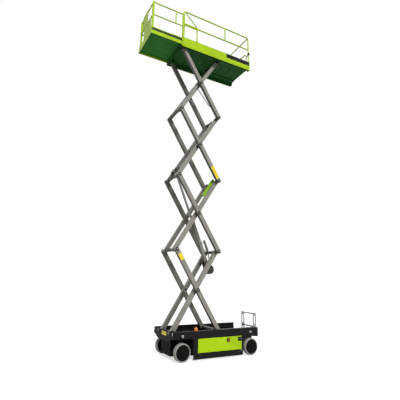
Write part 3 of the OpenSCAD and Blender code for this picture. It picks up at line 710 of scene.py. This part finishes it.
def guard_shade_plates():
    """Thin dark plates behind the guards' hinge notches: painted shade that closes them off from the bright
    floor beyond.
    """
    hinge_y, hinge_z = 540, 124
    for body, out in (("guard_l", 1), ("guard_r", -1)):
        shade_plates = Trim("guard_shade_plates_" + body[-1], body, BLACK, "black_paint")
        near, far = sorted((out * (hinge_y - 8), out * (hinge_y - 6)))
        # Painted shade: dark plates where only the shadow under the body would show.
        for x in (-592, 470):
            shade_plates.plate(at(x - 30, near, hinge_z - 40), at(x + 30, far, hinge_z - 16), 0.0008)
            for left, right in ((-30, -17), (17, 30)):
                shade_plates.plate(at(x + left, near, hinge_z - 18), at(x + right, far, hinge_z), 0.0008)
        shade_plates.done()


def well_pan():
    """Thin sheet pan that closes the open rear half of the cylinder's well under the deck plate."""
    pan = Trim("well_pan", "chassis", CHARCOAL, "charcoal_paint")
    rear, front, half, floor, top = -868, -700, 118, 350, 462
    pan.plate(at(rear, -half, floor), at(front, half, floor + 4), 0.001)
    pan.plate(at(rear, -half, floor + 3), at(rear + 4, half, top), 0.001)
    for edge in (-half, half - 4):
        pan.plate(at(rear + 3, edge, floor + 2.5), at(front, edge + 4, top), 0.001)
    pan.done()


def ladder_trim():
    """Feet that bolt the ladder's brackets to the body's rear and raised grip studs on its rungs."""
    feet = Trim("ladder_feet", "chassis", STEEL, "bright_steel")
    rear = Vector(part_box("chassis_frame")[0]).x
    for out in (1, -1):
        near, far = sorted((0.256 * out, 0.300 * out))
        feet.plate(Vector((rear - 0.006, near, 0.410)), Vector((rear, far, 0.460)), 0.0015)
        for z in (0.422, 0.448):
            feet.bolt(Vector((rear - 0.006, 0.280 * out, z)), -FRONT, 0.007)
    for z in (604, 912):
        for k in range(11):
            for dx in (-22, 22):
                feet.lathe(at(-1280 + dx, -200 + 40 * k, z), UP,
                           [(0, 0.008), (0.0015, 0.007), (0.003, 0.004)], 12)
    feet.done()


wheel_fittings()
pin_fittings()
washers_and_welds()
arm_plate("arm_plate_low", 1, ARM_SPAN - 0.20, 0.170, 0.084)
arm_plate("arm_plate_high", 3, 0.245, 0.360, 0.084)
arm_cables()
body_marks()
deck_trim()
underside_trim()
extension_trim()
tray_trim()
guard_shade_plates()
well_pan()
ladder_trim()


# Studio

FLOOR_HALF = 60.0


def studio_floor():
    """Pale floor: plain to every bounce, lifted towards white where the camera sees it, shadow kept."""
    bm = bmesh.new()
    bmesh.ops.create_grid(bm, x_segments=1, y_segments=1, size=FLOOR_HALF)
    mesh = bpy.data.meshes.new("studio_floor")
    bm.to_mesh(mesh)
    bm.free()
    floor = bpy.data.objects.new("studio_floor", mesh)
    bpy.context.collection.objects.link(floor)
    floor.location.z = -0.001
    g = Graph("studio_floor")
    speck = g.scale(g.noise(800, 3), 0.3, 0.7, 0.0, 1.0)
    g.set("Base Color", g.mix(speck, (0.40, 0.40, 0.40), (0.43, 0.43, 0.43)))
    g.set("Roughness", 0.9)
    ray = g.node("ShaderNodeLightPath")
    seen = g.math("MAXIMUM", ray.outputs["Is Camera Ray"], ray.outputs["Is Glossy Ray"])
    seen = g.math("MAXIMUM", seen, ray.outputs["Is Transmission Ray"])
    g.set("Emission Color", (1, 1, 1))
    g.set("Emission Strength", g.math("MULTIPLY", seen, 0.66))
    floor.data.materials.append(g.mat)


def studio_world():
    """Soft white surround for the light, plain white where the camera, gloss or glass sees it."""
    world = bpy.data.worlds.new("studio")
    world.use_nodes = True
    bpy.context.scene.world = world
    tree = world.node_tree
    soft = tree.nodes["Background"]
    soft.inputs["Color"].default_value = (0.95, 0.97, 1.0, 1)
    soft.inputs["Strength"].default_value = 0.34
    white = tree.nodes.new("ShaderNodeBackground")
    white.inputs["Color"].default_value = (1, 1, 1, 1)
    mix = tree.nodes.new("ShaderNodeMixShader")
    ray = tree.nodes.new("ShaderNodeLightPath")
    seen = ray.outputs["Is Camera Ray"]
    for kind in ("Is Glossy Ray", "Is Transmission Ray"):
        either = tree.nodes.new("ShaderNodeMath")
        either.operation = "MAXIMUM"
        tree.links.new(seen, either.inputs[0])
        tree.links.new(ray.outputs[kind], either.inputs[1])
        seen = either.outputs[0]
    tree.links.new(seen, mix.inputs[0])
    tree.links.new(soft.outputs[0], mix.inputs[1])
    tree.links.new(white.outputs[0], mix.inputs[2])
    tree.links.new(mix.outputs[0], tree.nodes["World Output"].inputs["Surface"])


def sun(name, direction, strength, angle):
    data = bpy.data.lights.new(name, "SUN")
    data.energy = strength
    data.angle = math.radians(angle)
    lamp = bpy.data.objects.new(name, data)
    lamp.rotation_mode = "QUATERNION"
    lamp.rotation_quaternion = Vector(direction).to_track_quat("-Z", "Y")
    bpy.context.collection.objects.link(lamp)


studio_floor()
studio_world()
sun("key", (-0.17, -0.76, -0.62), 3.2, 12)
sun("fill", (0.45, 0.70, -0.50), 0.9, 30)

# Camera

CAM_AT = at(4496.9, 7734.1, 1731.7)
CAM_HEADING = math.radians(151.236)
CAM_PITCH = math.radians(15.606)
CAM_ROLL = math.radians(0.946)
PHOTO_SIDE = 400
FOCAL_PIXELS = 337.27
CENTRE_Y = 185.2
SENSOR_WIDTH = 36.0
cam_data = bpy.data.cameras.new("camera")
cam_data.sensor_width = SENSOR_WIDTH
cam_data.lens = FOCAL_PIXELS * SENSOR_WIDTH / PHOTO_SIDE
cam_data.shift_y = (CENTRE_Y - PHOTO_SIDE / 2) / PHOTO_SIDE
cam_data.clip_end = 500
camera = bpy.data.objects.new("camera", cam_data)
bpy.context.collection.objects.link(camera)
aim = Matrix.Rotation(CAM_HEADING, 4, "Z") @ Matrix.Rotation(math.pi / 2 + CAM_PITCH, 4, "X")
camera.matrix_world = Matrix.Translation(CAM_AT) @ aim @ Matrix.Rotation(CAM_ROLL, 4, "Z")
bpy.context.scene.camera = camera
bpy.context.scene.view_settings.view_transform = "Standard"
